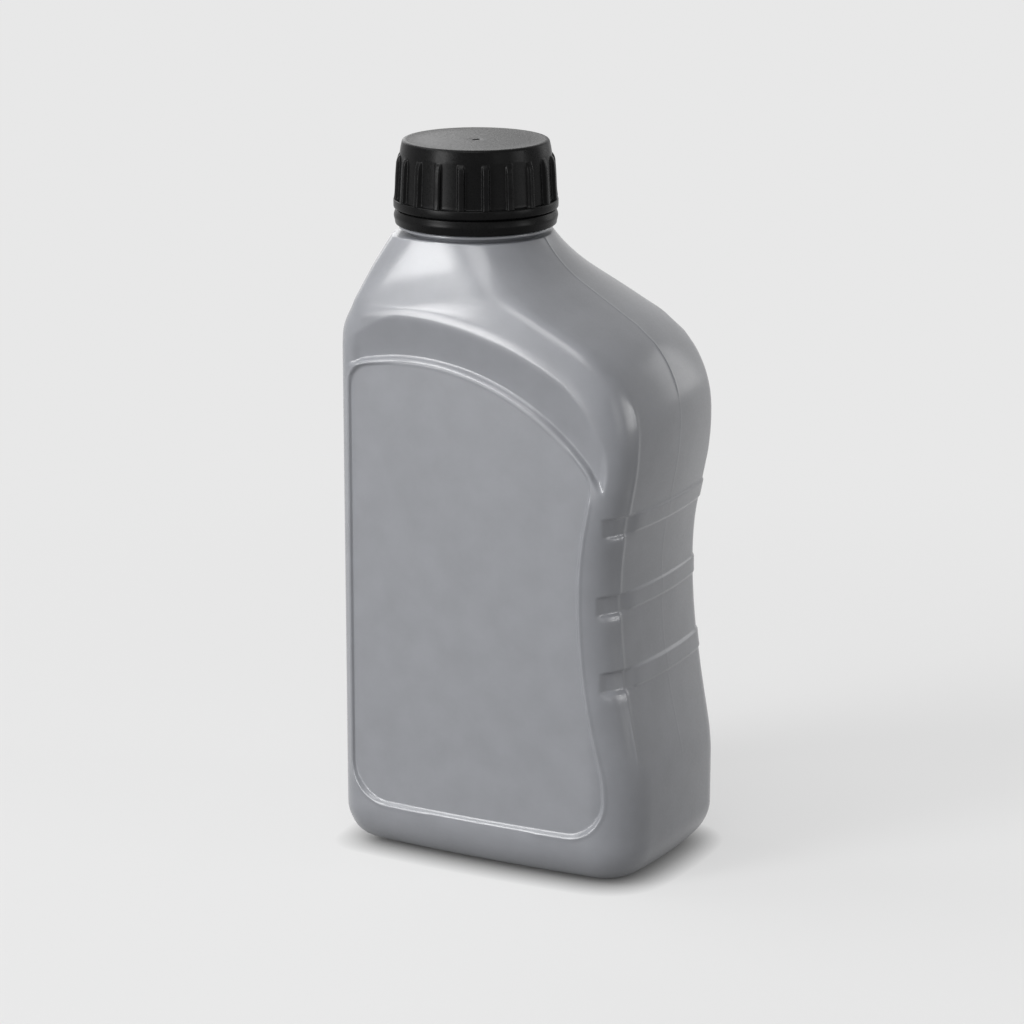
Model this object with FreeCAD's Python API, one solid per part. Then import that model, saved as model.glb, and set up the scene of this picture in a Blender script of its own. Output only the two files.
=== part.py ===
import FreeCAD, Part
import copy
import math
import os

# One-litre brake fluid bottle: a blow-moulded flask with a hand grip down its right
# side, a screw cap off to the left, and the tamper ring under the cap.
# Millimetres, +Z up. The origin is the middle of the footprint; -Y is the label side.

V = FreeCAD.Vector

# ---- Flask, outside sizes ----
flask_width = 105.0
flask_depth = 70.1
wall = 1.1
base_round = 14.0           # rounding between the sides and the base
neck_inset = 33.2           # from the left side to the middle of the neck
neck_x = neck_inset - flask_width / 2

# Right flank from the base up, as tangent lines and arcs (lengths, and turns in degrees)
hip_height = 28.8           # raising this raises all that stands above it
hip_radius = 48.7
grip_lean = 12.95
hip_run = 10.0
waist_radius_low = 186.9
waist_radius_high = 105.2
palm_lean = 10.5
palm_run = 14.9
palm_radius = 81.8
shoulder_radius = 32.4      # the shoulder leans as far as it must to come out at the neck
shoulder_run = 20.6
neck_sweep = 39.0
neck_turn = 40.0

# Heights that follow the hip
shoulder_top = hip_height + 162.2       # where the shoulder stops and the neck starts
arch_z = hip_height + 52.6              # middle of the arches over the label

# ---- Neck finish ----
neck_radius = 20.4
neck_wall = 1.8
bore_radius = neck_radius - neck_wall
groove_radius = neck_radius + 2.1       # where the neck comes out of the shoulder
collar_radius = groove_radius + 0.9
collar_bottom = shoulder_top + 1.05
collar_top = collar_bottom + 1.35
mouth_height = collar_top + 22.6
bead_radius = neck_radius + 2.1
bead_bottom = collar_top + 2.3
bead_height = 1.6

# How far the shoulder stands out round the foot of the neck
right_land = 1.0
left_land = 0.58
face_land = 1.445

# Left flank, upright up to the bend from which it leans towards the neck
left_bend_radius = 14.0
left_lean = 20.8

# Roundings seen from above, as (height, radius), straight in between
right_corners = [
    (0, 6), (3, 12.5), (8, 14.8), (14, 16.4), (hip_height + 6, 16), (hip_height + 21, 13.4), (hip_height + 30, 12),
    (hip_height + 75, 12), (hip_height + 95, 9), (shoulder_top - 53, 11.3), (shoulder_top - 41, 13.2),
    (shoulder_top - 30, 13.8), (shoulder_top - 21, 15.4), (shoulder_top, 17.8)]
left_corners = [
    (0, 3.6), (3, 3.6), (8, 7.8), (14, 9.2), (shoulder_top - 30, 8.7), (shoulder_top - 21, 10.4), (shoulder_top - 9, 11.6), (shoulder_top, 14.2)]
front_crown = 508.0
side_crown = 171.0
right_crowns = [
    (0, side_crown), (shoulder_top - 68, side_crown), (shoulder_top - 53, 157), (shoulder_top - 41, 127),
    (shoulder_top - 33, 98), (shoulder_top - 27, 70), (shoulder_top - 21, 52), (shoulder_top - 15, 43),
    (shoulder_top - 9, groove_radius + 13.5), (shoulder_top, groove_radius + 2.5)]
left_crowns = [
    (0, side_crown), (shoulder_top - 33, 166), (shoulder_top - 27, 150), (shoulder_top - 21, 118),
    (shoulder_top - 15, 102), (shoulder_top - 9, 84), (shoulder_top, groove_radius + 19.5)]

# Cheek: the cone that slopes the front and back away above the ridge
arch_x = -22.0
ridge_arch = 89.5
cheek_back = flask_depth / 2 - groove_radius - face_land
cheek_run = (shoulder_top - arch_z - ridge_arch) / cheek_back       # how much wider the cone gets per millimetre back
ridge_round = 4.0           # rounding of the ridge and of the cheek's upper edge

# Label panel, and the cove between it and the ridge
panel_margin = 11.0         # in from the right flank
panel_left = 7.0 - flask_width / 2
panel_foot = 15.7
panel_sink = 0.9
panel_arch = 75.0
panel_corner = 12.5
cove_sink = 2.4
cove_step = 2.0
cove_arch = ridge_arch - 1.3
cove_margin = 7.5

# Finger bands round the grip, from the bottom edge of each: they stand a little out of the
# flank and cut the front corner off
finger_bottoms = [hip_height + 32.7, hip_height + 56.3, hip_height + 80.5]
finger_height = 6.6
finger_rise = 0.3
finger_round = 3.2          # how much rounder the front corner is along a band
finger_end = flask_width / 2 - 13.0

# Base
stand_ring = 6.0            # width of the flat that the bottle stands on
push_up = 2.4

# ---- Tamper band ----
seat_gap = 0.25             # upright play between the band and the collar
band_bottom = collar_top + seat_gap
band_height = 4.45
band_top = band_bottom + band_height
band_widest = 2.4           # height of its widest line over its foot
band_radius = collar_radius + 1.45
band_wall = 1.6
lip_height = 1.7
lip_play = 0.9              # how far the lip stands off the neck
bridge_count = 10
bridge_width = 1.2
bridge_height = 0.5

# ---- Cap ----
cap_bottom = band_top + bridge_height
cap_height = 20.4
cap_top = cap_bottom + cap_height
cap_inside = neck_radius + 1.2          # clear of the neck all round
cap_wall = 2.0
cap_foot_radius = cap_inside + cap_wall
cap_top_radius = cap_foot_radius - 1.2
cap_flange_radius = cap_foot_radius + 1.35
cap_flange_height = 2.6
rib_count = 20
rib_width = 2.3
rib_head = 4.3              # how far below the top the ribs start
gate_radius = 1.1

# ---- Seals and contents ----
foil_thickness = 0.15
liner_gap = 0.1             # between the liner and the foil
liner_thickness = 1.0
liner_radius = cap_inside - 0.4
fluid_level = shoulder_top - 24.0
fluid_gap = 0.3


class Flank:
    # One side of the flask in one view: how far out it reaches at each height.
    # It starts at the edge of the flat base and goes up in tangent lines and arcs.
    def __init__(self, half_width):
        self.out = half_width - base_round
        self.up = 0.0
        self.lean = -90.0
        self.pieces = []
        self.arc(base_round, 90.0)

    def line(self, length):
        self.pieces.append(("line", self.out, self.up, self.lean, length))
        angle = math.radians(self.lean)
        self.out -= length * math.sin(angle)
        self.up += length * math.cos(angle)

    def rise(self, height):
        self.line((height - self.up) / math.cos(math.radians(self.lean)))

    def arc(self, radius, turn):
        side = 1.0 if turn > 0 else -1.0
        angle = math.radians(self.lean)
        middle_out = self.out - side * radius * math.cos(angle)
        middle_up = self.up - side * radius * math.sin(angle)
        self.pieces.append(("arc", middle_out, middle_up, radius, side, self.lean, turn))
        self.lean += turn
        angle = math.radians(self.lean)
        self.out = middle_out + side * radius * math.cos(angle)
        self.up = middle_up + side * radius * math.sin(angle)

    def points(self, piece, inset):
        # start, middle and end of one piece of the line that lies inset inside the flank
        if piece[0] == "line":
            _, out, up, lean, length = piece
            angle = math.radians(lean)
            out -= inset * math.cos(angle)
            up -= inset * math.sin(angle)
            return [(out - s * math.sin(angle), up + s * math.cos(angle)) for s in (0.0, length / 2, length)]
        _, middle_out, middle_up, radius, side, lean, turn = piece
        reach = side * radius - inset
        found = []
        for share in (0.0, 0.5, 1.0):
            angle = math.radians(lean + share * turn)
            found.append((middle_out + reach * math.cos(angle), middle_up + reach * math.sin(angle)))
        return found

    def edges(self, inset, place):
        made = []
        for piece in self.pieces:
            start, middle, end = [place(out, up) for out, up in self.points(piece, inset)]
            if piece[0] == "line":
                made.append(Part.LineSegment(start, end).toShape())
            else:
                made.append(Part.Arc(start, middle, end).toShape())
        return made

    def reach(self, height, inset):
        # how far out the line that lies inset inside the flank is at a height
        for piece in self.pieces:
            if piece[0] == "line":
                (out, up), (_, _), (end_out, end_up) = self.points(piece, inset)
                if height <= end_up + 1e-6:
                    return out + (end_out - out) * (height - up) / (end_up - up)
            else:
                _, middle_out, middle_up, radius, side, lean, turn = piece
                reach = side * radius - inset
                last = middle_up + reach * math.sin(math.radians(lean + turn))
                if height <= last + 1e-6:
                    sine = max(-1.0, min(1.0, (height - middle_up) / reach))
                    return middle_out + reach * math.sqrt(1 - sine ** 2)
        raise ValueError("the flank stops below %.1f" % height)


def right_flank():
    flank = Flank(flask_width / 2)
    flank.rise(hip_height)
    flank.arc(hip_radius, grip_lean)
    flank.line(hip_run)
    flank.arc(waist_radius_low, -grip_lean)
    flank.arc(waist_radius_high, -palm_lean)
    flank.line(palm_run)
    flank.arc(palm_radius, palm_lean)
    # halve the range of leans until the shoulder comes out at the neck
    least, most = neck_turn + 1.0, 89.0
    while most - least > 1e-9:
        lean = (least + most) / 2
        trial = shoulder(copy.deepcopy(flank), lean)
        if trial.reach(shoulder_top, 0.0) > neck_x + groove_radius + right_land:
            least = lean
        else:
            most = lean
    return shoulder(flank, lean)


def shoulder(flank, lean):
    flank.arc(shoulder_radius, lean)
    flank.line(shoulder_run)
    flank.arc(neck_sweep, -neck_turn)
    flank.rise(shoulder_top + 9.0)
    return flank


def left_flank():
    # the bend stands so high that the leaning part comes out at the neck
    lean = math.radians(left_lean)
    run = flask_width / 2 - (groove_radius + left_land - neck_x) - left_bend_radius * (1 - math.cos(lean))
    flank = Flank(flask_width / 2)
    flank.rise(shoulder_top - run / math.tan(lean) - left_bend_radius * math.sin(lean))
    flank.arc(left_bend_radius, left_lean)
    flank.rise(shoulder_top + 9.0)
    return flank


def front_flank():
    flank = Flank(flask_depth / 2)
    flank.rise(shoulder_top + 9.0)
    return flank


def line(*points):
    return [Part.LineSegment(a, b).toShape() for a, b in zip(points, points[1:])]


def closed_face(edges):
    return Part.Face(Part.Wire(Part.__sortEdges__(edges)))


def between_flanks(flank_a, flank_b, inset, place_a, place_b, along):
    # the area between two flanks, pushed through the flask from one side to the other
    up_a = flank_a.edges(inset, place_a)
    up_b = flank_b.edges(inset, place_b)
    foot = line(up_a[0].firstVertex().Point, up_b[0].firstVertex().Point)
    head = line(up_a[-1].lastVertex().Point, up_b[-1].lastVertex().Point)
    return closed_face(up_a + up_b + foot + head).extrude(along)


def turned(points, x=0.0, turn=360.0):
    # a closed outline of (radius, height) corners turned about an upright axis at x
    corners = [V(x + r, 0, z) for r, z in points]
    face = Part.Face(Part.makePolygon(corners + corners[:1]))
    return face.revolve(V(x, 0, 0), V(0, 0, 1), turn)


def front_outline(inset):
    far = flask_depth
    return between_flanks(
        right_flank(), left_flank(), inset,
        lambda out, up: V(out, -far, up), lambda out, up: V(-out, -far, up), V(0, 2 * far, 0))


def middle(edge):
    return edge.valueAt((edge.FirstParameter + edge.LastParameter) / 2)


def bend(shape, edge):
    # the angle between the two faces that meet at an edge, in degrees
    point = middle(edge)
    normals = []
    for face in shape.Faces:
        if any(edge.isSame(other) for other in face.Edges):
            u, v = face.Surface.parameter(point)
            normals.append(face.normalAt(u, v))
    return math.degrees(normals[0].getAngle(normals[-1])) if normals else 0.0


def rounded(shape, radius, pick, least=3.0):
    # round every edge whose middle passes the pick and that really bends
    edges = [edge for edge in shape.Edges if pick(middle(edge)) and bend(shape, edge) > least]
    for size in (radius, 0.7 * radius, 0.4 * radius):
        try:
            trial = shape.makeFillet(size, edges)
        except Exception:
            continue
        if trial.isValid() and len(trial.Solids) == 1:
            return trial
    print("left sharp: %d edges for radius %.1f" % (len(edges), radius))
    return shape


def where_circles_meet(a, radius_a, b, radius_b, side):
    # the crossing of two circles that lies to the left (side 1) or right (-1) of the way from a to b
    way = b - a
    apart = way.Length
    along = (apart ** 2 + radius_a ** 2 - radius_b ** 2) / (2 * apart)
    across = side * math.sqrt(radius_a ** 2 - along ** 2)
    return a + way * (along / apart) + V(-way.y, way.x, 0) * (across / apart)


def towards(a, b, distance):
    return a + (b - a) * (distance / (b - a).Length)


def between(table, height):
    # straight interpolation in a table of (height, value)
    for (low, first), (high, last) in zip(table, table[1:]):
        if height <= high:
            return first + (last - first) * max(0.0, height - low) / (high - low)
    return table[-1][1]


def bow(centre, start, end):
    # an arc about a centre, counterclockwise, as the cubic curve that follows it closely
    a, b = start - centre, end - centre
    pull = 4.0 / 3.0 * math.tan(a.getAngle(b) / 4)
    curve = Part.BezierCurve()
    curve.setPoles([start, start + V(-a.y, a.x, 0) * pull, end - V(-b.y, b.x, 0) * pull, end])
    return curve.toShape()


def section(height, right, left, out_face):
    # One level outline of the flask: four bowed sides, and corner arcs that touch both neighbours.
    # right and left hold how far out that side is, the radius of its bow and of its corners.
    corners = []
    for x_side, y_side in ((1, -1), (1, 1), (-1, 1), (-1, -1)):
        out, crown, radius = right if x_side > 0 else left
        face_middle = V(0, y_side * (out_face - front_crown), 0)
        flank_middle = V(x_side * (out - crown), 0, 0)
        middle = where_circles_meet(face_middle, front_crown - radius, flank_middle, crown - radius, -x_side * y_side)
        touches = [towards(face_middle, middle, front_crown), towards(flank_middle, middle, crown)]
        onward = [face_middle, flank_middle]
        turn = 1 if x_side * y_side < 0 else -1
        corners.append((touches[::turn], middle, onward[::turn][1]))
    edges = []
    for index, ((start, end), middle, onward) in enumerate(corners):
        edges.append(bow(middle, start, end))
        edges.append(bow(onward, end, corners[(index + 1) % 4][0][0]))
    wire = Part.Wire(edges)
    wire.translate(V(0, 0, height))
    return wire


def level_sections(heights, inset, rise=0.0, rounder=0.0):
    # rise and rounder stand the right side out and round its corners more, for the finger bands
    right, left, face = right_flank(), left_flank(), front_flank()
    wires = []
    for height in heights:
        sides = []
        for flank, crowns, corners in ((right, right_crowns, right_corners), (left, left_crowns, left_corners)):
            sides.append([
                flank.reach(height, inset), between(crowns, height) - inset, between(corners, height) - inset])
        sides[0][0] += rise
        sides[0][2] += rounder
        narrowing = (height - arch_z - ridge_arch) / cheek_run - 1.0
        wires.append(section(height, sides[0], sides[1], face.reach(height, inset) - max(0.0, narrowing)))
    return wires


def flask_block(inset):
    # The flask without its cheeks, lofted through level sections from the base to the neck:
    # smooth outside, and in straight steps on the inside, where nothing shows.
    plain = inset > 0
    foot, grip, shoulder = (3, 8, 7) if plain else (5, 11, 9)
    heights = [
        base_round - (base_round - inset) * math.cos(math.radians(90.0 * step / foot)) for step in range(foot + 1)]
    heights += [hip_height - 6, hip_height + 8, hip_height + 22]
    for top, steps in ((shoulder_top - 36.0, grip), (shoulder_top, shoulder)):
        start = heights[-1]
        heights += [start + (top - start) * (step + 1) / steps for step in range(steps)]
    return Part.makeLoft(level_sections(heights, inset), True, plain)


def plan_prism(inset):
    # the front and back of the flask as two bowed faces
    tall = shoulder_top + 10.0
    reach = front_crown - flask_depth / 2
    front = Part.makeCylinder(front_crown - inset, tall, V(0, reach, 0))
    return front.common(Part.makeCylinder(front_crown - inset, tall, V(0, -reach, 0)))


def arched(corners):
    # a closed outline of (radius, y) corners turned about the level axis of the arches
    points = [V(arch_x, y, arch_z + r) for r, y in corners]
    face = Part.Face(Part.makePolygon(points + points[:1]))
    return face.revolve(V(arch_x, 0, arch_z), V(0, 1, 0), 360)


def block(x0, x1, y0, y1, z0, z1):
    return Part.makeBox(x1 - x0, y1 - y0, z1 - z0, V(x0, y0, z0))


def cheek(inset):
    # a double cone front to back, with the flask below it left whole
    half = flask_depth / 2 - inset
    edge = ridge_arch - inset * (math.hypot(1, cheek_run) - cheek_run)
    ends = edge - cheek_run
    cone = arched([(0, -half - 1), (ends, -half - 1), (edge + half * cheek_run, 0), (ends, half + 1), (0, half + 1)])
    far = 2 * flask_width
    return cone.fuse(block(-far, far, -far, far, -10, arch_z + 10))


def flask_form(inset):
    return flask_block(inset).common(cheek(inset))


def soften(form):
    # the ridge over the label and the upper edge of the cheek, which run into one another
    return rounded(form, ridge_round, lambda m: abs(m.y) > 10 and -28 < m.x < 44 and arch_z + 60 < m.z < shoulder_top - 1)


def label_recess(inset):
    # the sunk panel on the front and the back, up to the lower arch
    far = flask_width
    half = flask_depth / 2
    area = front_outline(panel_margin - inset)
    area = area.common(block(panel_left - inset, far, -half - 2, half + 2, panel_foot - inset, far * 3))
    reach = panel_arch + inset
    arch = arched([(0, -half - 2), (reach, -half - 2), (reach, half + 2), (0, half + 2)])
    area = area.common(arch.fuse(block(-far, far, -half - 2, half + 2, 0, arch_z)))
    area = rounded(area, panel_corner, lambda m: m.z < panel_foot + 1 - inset and abs(m.x) > 30)
    return area.cut(plan_prism(panel_sink + inset))


def cove(inset, side):
    # the hollow band between the panel and the ridge, on one side
    far = flask_width
    half = flask_depth / 2
    foot = panel_arch - 1.2 * inset
    deep = foot + cove_step
    outside = side * (half + 2)
    floor = side * (half - panel_sink - inset)
    deepest = side * (half - cove_sink - inset)
    crest = side * (half + 0.2 - inset)
    ring = arched([(foot, outside), (foot, floor), (deep, deepest), (cove_arch + 1, crest), (cove_arch + 1, outside)])
    area = front_outline(cove_margin - inset)
    area = area.common(block(panel_left - inset, far, -half - 3, half + 3, arch_z + 40, far * 3))
    return area.common(ring)


def finger_bands(form, inset):
    # Along each band the end of the flask past finger_end is exchanged for one of another
    # outline. The hollow inside only draws back along the front corner.
    far = flask_width
    rise = 0.0 if inset else finger_rise
    corners = [(-far, 0, finger_round)] if inset else [(-far, 0, finger_round), (0, far, 0.0)]
    for bottom in finger_bottoms:
        low, high = bottom - inset, bottom + finger_height + inset
        heights = [low - 1, (low + high) / 2, high + 1]
        for near, beyond, rounder in corners:
            area = block(finger_end - inset, far, near, beyond, low, high)
            outline = Part.makeLoft(level_sections(heights, inset, rise, rounder), True, True)
            form = form.cut(area.cut(outline))
            if rise:
                form = form.fuse(area.common(outline))
    return form


def base_hollow(inset):
    # the raised middle of the base, inside the flat ring that the bottle stands on
    half_x = flask_width / 2 - base_round - stand_ring
    half_y = flask_depth / 2 - base_round - stand_ring
    rings = []
    for shrink, z in ((-inset, -1.0), (-inset, inset - 0.4 if inset else 0.0), (3.0 - inset, push_up + inset)):
        x, y = half_x - shrink, half_y - shrink
        corners = [V(-x, -y, z), V(x, -y, z), V(x, y, z), V(-x, y, z), V(-x, -y, z)]
        rings.append(Part.makePolygon(corners))
    tool = Part.makeLoft(rings, True, True)
    return tool


def flask_solid(form, inset):
    form = finger_bands(form, inset)
    for tool in (label_recess(inset), cove(inset, 1), cove(inset, -1), base_hollow(inset)):
        form = form.cut(tool)
    return form


def make_bottle():
    body = flask_solid(soften(flask_form(0.0)), 0.0)
    low = shoulder_top - 0.5
    bead = neck_radius + (bead_radius - neck_radius) * 0.4
    neck = turned([
        (0, low), (groove_radius, low), (groove_radius, collar_bottom), (collar_radius - 0.3, collar_bottom),
        (collar_radius, collar_bottom + 0.4), (collar_radius, collar_top - 0.3), (collar_radius - 0.3, collar_top),
        (neck_radius, collar_top), (neck_radius, bead_bottom), (bead_radius, bead_bottom + 0.3),
        (bead, bead_bottom + bead_height), (neck_radius, bead_bottom + bead_height),
        (neck_radius, mouth_height - 0.4), (neck_radius - 0.4, mouth_height), (0, mouth_height)], neck_x)
    throat = groove_radius - 1.6
    bore = turned([
        (0, shoulder_top - 3), (throat, shoulder_top - 3), (throat, shoulder_top), (bore_radius, collar_top),
        (bore_radius, mouth_height - 0.5), (bore_radius + 0.4, mouth_height + 0.1), (0, mouth_height + 0.1)], neck_x)
    hollow = flask_solid(flask_form(wall), wall)
    return body.fuse(neck).cut(hollow).cut(bore)


def make_fluid():
    far = 2 * flask_width
    inset = wall + fluid_gap
    form = flask_form(inset).common(block(-far, far, -far, far, 0, fluid_level))
    return flask_solid(form, inset)


def make_cap():
    inside_top = mouth_height + foil_thickness + liner_gap + liner_thickness
    flange = cap_bottom + cap_flange_height
    body = turned([
        (0, cap_top), (cap_top_radius - 0.4, cap_top), (cap_top_radius, cap_top - 0.4),
        (cap_top_radius + 0.5, cap_top - 3.8), (cap_foot_radius, flange + 0.6), (cap_foot_radius, flange),
        (cap_flange_radius - 0.2, flange), (cap_flange_radius, flange - 0.3), (cap_flange_radius - 0.2, cap_bottom),
        (cap_inside + 0.4, cap_bottom), (cap_inside, cap_bottom + 0.6), (cap_inside, inside_top), (0, inside_top)], neck_x)
    crest = [
        (cap_foot_radius - 1.3, cap_top - rib_head), (cap_top_radius + 1.0, cap_top - rib_head - 0.4),
        (cap_top_radius + 1.7, cap_top - rib_head - 2.0), (cap_top_radius + 2.0, cap_top - rib_head - 5.9),
        (cap_flange_radius - 0.3, flange + 2.2), (cap_flange_radius - 0.1, flange), (cap_foot_radius - 1.3, flange)]
    points = [V(r, -rib_width / 2, z) for r, z in crest]
    rib = Part.Face(Part.makePolygon(points + points[:1])).extrude(V(0, rib_width, 0))
    crests = [
        edge for edge in rib.Edges
        if abs(abs(middle(edge).y) - rib_width / 2) < 0.01 and middle(edge).x > cap_foot_radius - 0.9
        and middle(edge).z > flange + 0.1]
    rib = rib.makeChamfer(0.25 * rib_width, crests)
    ribs = []
    for index in range(rib_count):
        turn = FreeCAD.Placement(V(0, 0, 0), FreeCAD.Rotation(V(0, 0, 1), 360.0 * index / rib_count))
        other = rib.copy()
        other.Placement = FreeCAD.Placement(V(neck_x, 0, 0), FreeCAD.Rotation()).multiply(turn)
        ribs.append(other)
    body = body.fuse(ribs)
    gate = turned([(0, cap_top - 0.2), (gate_radius, cap_top - 0.2), (gate_radius * 0.8, cap_top + 0.25), (0, cap_top + 0.25)], neck_x)
    return body.fuse(gate)


def make_liner():
    bottom = mouth_height + foil_thickness + liner_gap
    return Part.makeCylinder(liner_radius, liner_thickness, V(neck_x, 0, bottom))


def make_foil():
    return Part.makeCylinder(neck_radius - 0.1, foil_thickness, V(neck_x, 0, mouth_height))


def make_band():
    inner = band_radius - band_wall
    lip = neck_radius + lip_play
    band = turned([
        (lip + 0.4, band_bottom), (band_radius - 0.5, band_bottom), (band_radius, band_bottom + band_widest),
        (band_radius - 0.5, band_top), (inner, band_top), (inner, band_bottom + lip_height + 0.6),
        (lip, band_bottom + lip_height)], neck_x)
    bridges = []
    for index in range(bridge_count):
        bridge = block(inner + 0.1, band_radius - 0.6, -bridge_width / 2, bridge_width / 2, band_top - 0.2, cap_bottom)
        turn = FreeCAD.Rotation(V(0, 0, 1), 360.0 * (index + 0.5) / bridge_count)
        bridge.Placement = FreeCAD.Placement(V(neck_x, 0, 0), turn)
        bridges.append(bridge)
    return band.fuse(bridges)


def save(shape, name):
    shape = shape.removeSplitter()
    if len(shape.Solids) == 1:
        shape = shape.Solids[0]
    shape.exportStep("parts/%s.step" % name)
    print("%-12s solids %d valid %s volume %.1f" % (name, len(shape.Solids), shape.isValid(), shape.Volume))


os.makedirs("parts", exist_ok=True)
save(make_bottle(), "bottle")
save(make_fluid(), "brake_fluid")
save(make_foil(), "foil_seal")
save(make_liner(), "cap_liner")
save(make_cap(), "cap")
save(make_band(), "tamper_band")
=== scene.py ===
import math

import bpy
import numpy as np
from mathutils import Matrix, Vector


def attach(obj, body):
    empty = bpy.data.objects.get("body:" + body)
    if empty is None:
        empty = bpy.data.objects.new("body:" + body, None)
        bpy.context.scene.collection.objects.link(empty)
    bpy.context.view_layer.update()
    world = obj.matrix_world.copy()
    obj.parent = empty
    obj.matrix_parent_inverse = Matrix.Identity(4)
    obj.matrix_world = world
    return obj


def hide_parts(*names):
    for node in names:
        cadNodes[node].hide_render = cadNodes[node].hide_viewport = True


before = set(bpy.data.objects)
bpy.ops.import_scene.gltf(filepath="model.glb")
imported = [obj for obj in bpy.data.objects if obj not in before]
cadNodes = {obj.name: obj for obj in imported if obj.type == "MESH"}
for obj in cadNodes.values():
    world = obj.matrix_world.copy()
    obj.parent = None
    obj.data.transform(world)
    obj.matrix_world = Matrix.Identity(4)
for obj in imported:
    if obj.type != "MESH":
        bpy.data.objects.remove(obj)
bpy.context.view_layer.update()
print("frame loaded")

scene = bpy.context.scene
scene.view_settings.view_transform = 'Standard'

cameraSettings = {
    "place": (0.53196, -1.00036, 0.40696),   # metres, in the bottle's frame
    "turn": 28.3124,                         # degrees to the right of straight on
    "tilt": 14.9088,                         # degrees looking down
    "lens": 134.784, "sensor": 36,           # millimetres
    "reach": 50,                             # metres, past which nothing is seen
}


def addCamera(settings):
    turn, tilt = math.radians(settings["turn"]), math.radians(settings["tilt"])
    right = Vector((math.cos(turn), math.sin(turn), 0))
    up = Vector((-math.sin(turn) * math.sin(tilt), math.cos(turn) * math.sin(tilt), math.cos(tilt)))
    back = right.cross(up)
    data = bpy.data.cameras.new("camera")
    data.lens = settings["lens"]
    data.sensor_width = settings["sensor"]
    data.clip_end = settings["reach"]
    camera = bpy.data.objects.new("camera", data)
    axes = Matrix((right, up, back)).transposed().to_4x4()
    camera.matrix_world = Matrix.Translation(settings["place"]) @ axes
    scene.collection.objects.link(camera)
    scene.camera = camera


addCamera(cameraSettings)

lightSettings = {
    # direction from the bottle (degrees right of straight in front, degrees up), width and height
    # in metres, power in watts; all stand at the same distance and face the bottle
    "top": (0, 88, 2.2, 2.2, 7.0),
    "topFront": (10, 60, 1.6, 1.2, 31.0),
    "topLeft": (-80, 55, 1.6, 1.6, 30.0),
    "backLeft": (-135, 20, 1.6, 1.6, 12.0),
    "frontLeft": (-25, 10, 1.2, 1.4, 72.0),
    "frontLeftHigh": (-34, 36, 0.9, 0.7, 34.0),
    "highLeftSmall": (-34, 50, 0.5, 0.5, 5.0),
    "right": (95, 10, 0.7, 1.4, 11.0),
    "rightFront": (65, 10, 0.9, 1.4, 5.0),
    "rightStrip": (104, 8, 0.25, 1.2, 9.0),
    "backRight": (155, 12, 1.0, 1.4, 6.0),
}
lightDistance = 3.0
lightAim = 0.1       # height of the point that they face


def addLight(name, turn, rise, width, height, power):
    turn, rise = math.radians(turn), math.radians(rise)
    towards = Vector((math.sin(turn) * math.cos(rise), -math.cos(turn) * math.cos(rise), math.sin(rise)))
    data = bpy.data.lights.new(name, 'AREA')
    data.shape = 'RECTANGLE'
    data.size = width
    data.size_y = height
    data.energy = power
    lamp = bpy.data.objects.new(name, data)
    lamp.location = towards * lightDistance + Vector((0, 0, lightAim))
    lamp.rotation_euler = (-towards).to_track_quat('-Z', 'Y').to_euler()
    scene.collection.objects.link(lamp)


for lampName, lampValues in lightSettings.items():
    addLight(lampName, *lampValues)

backdropSettings = {
    "shown": 0.806,          # what the camera and the gloss see of the floor and the room
    "room": 0.06,            # how pale the room is as soft light
    "bounce": 0.08,          # glow of the floor onto the bottle
    "floorColour": 0.2,
    "floorHalf": 12.0,       # half the floor's width, in metres
    "nearGlow": 0.567,       # tops up the lit floor round the bottle to the shown level
    "contact": 0.009,        # how near the bottle the glow is darkened as a painted contact shadow, in metres
    "nearReach": 0.14,       # metres from the middle, beyond which the floor evens out
    "farReach": 0.5,
}


def grey(level):
    return (level, level, level, 1)


def glowNode(nodes, level):
    glow = nodes.new('ShaderNodeEmission')
    glow.inputs["Color"].default_value = grey(level)
    return glow


def mixed(tree, factor, first, second):
    mix = tree.nodes.new('ShaderNodeMixShader')
    tree.links.new(factor, mix.inputs["Fac"])
    tree.links.new(first.outputs[0], mix.inputs[1])
    tree.links.new(second.outputs[0], mix.inputs[2])
    return mix


def seenRays(tree):
    # 1 for what the camera sees straight, in a gloss or through something clear, 0 for soft light
    path = tree.nodes.new('ShaderNodeLightPath')
    total = path.outputs["Is Camera Ray"]
    for name in ("Is Glossy Ray", "Is Transmission Ray"):
        both = tree.nodes.new('ShaderNodeMath')
        both.operation = 'MAXIMUM'
        tree.links.new(total, both.inputs[0])
        tree.links.new(path.outputs[name], both.inputs[1])
        total = both.outputs["Value"]
    return total


def addWorld(settings):
    world = bpy.data.worlds.new("room")
    scene.world = world
    world.use_nodes = True
    tree = world.node_tree
    tree.nodes.clear()
    sides = []
    for name in ("room", "shown"):
        side = tree.nodes.new('ShaderNodeBackground')
        side.inputs["Color"].default_value = grey(settings[name])
        sides.append(side)
    mix = mixed(tree, seenRays(tree), *sides)
    output = tree.nodes.new('ShaderNodeOutputWorld')
    tree.links.new(mix.outputs["Shader"], output.inputs["Surface"])


def litPaper(tree, settings):
    # Paper twice over, each with a glow that is darkened close to the bottle as a painted contact shadow:
    # first as soft light meets it, then as it is seen.
    paper = tree.nodes.new('ShaderNodeBsdfDiffuse')
    paper.inputs["Color"].default_value = grey(settings["floorColour"])
    # ambient occlusion that darkens both glows next to the bottle: a painted contact shadow
    paintedContactShadow = tree.nodes.new('ShaderNodeAmbientOcclusion')
    paintedContactShadow.inputs["Distance"].default_value = settings["contact"]
    lit = []
    for name in ("bounce", "nearGlow"):
        both = tree.nodes.new('ShaderNodeAddShader')
        tree.links.new(paper.outputs["BSDF"], both.inputs[0])
        glow = glowNode(tree.nodes, settings[name])
        tree.links.new(paintedContactShadow.outputs["AO"], glow.inputs["Strength"])
        tree.links.new(glow.outputs["Emission"], both.inputs[1])
        lit.append(both)
    return lit


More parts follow.
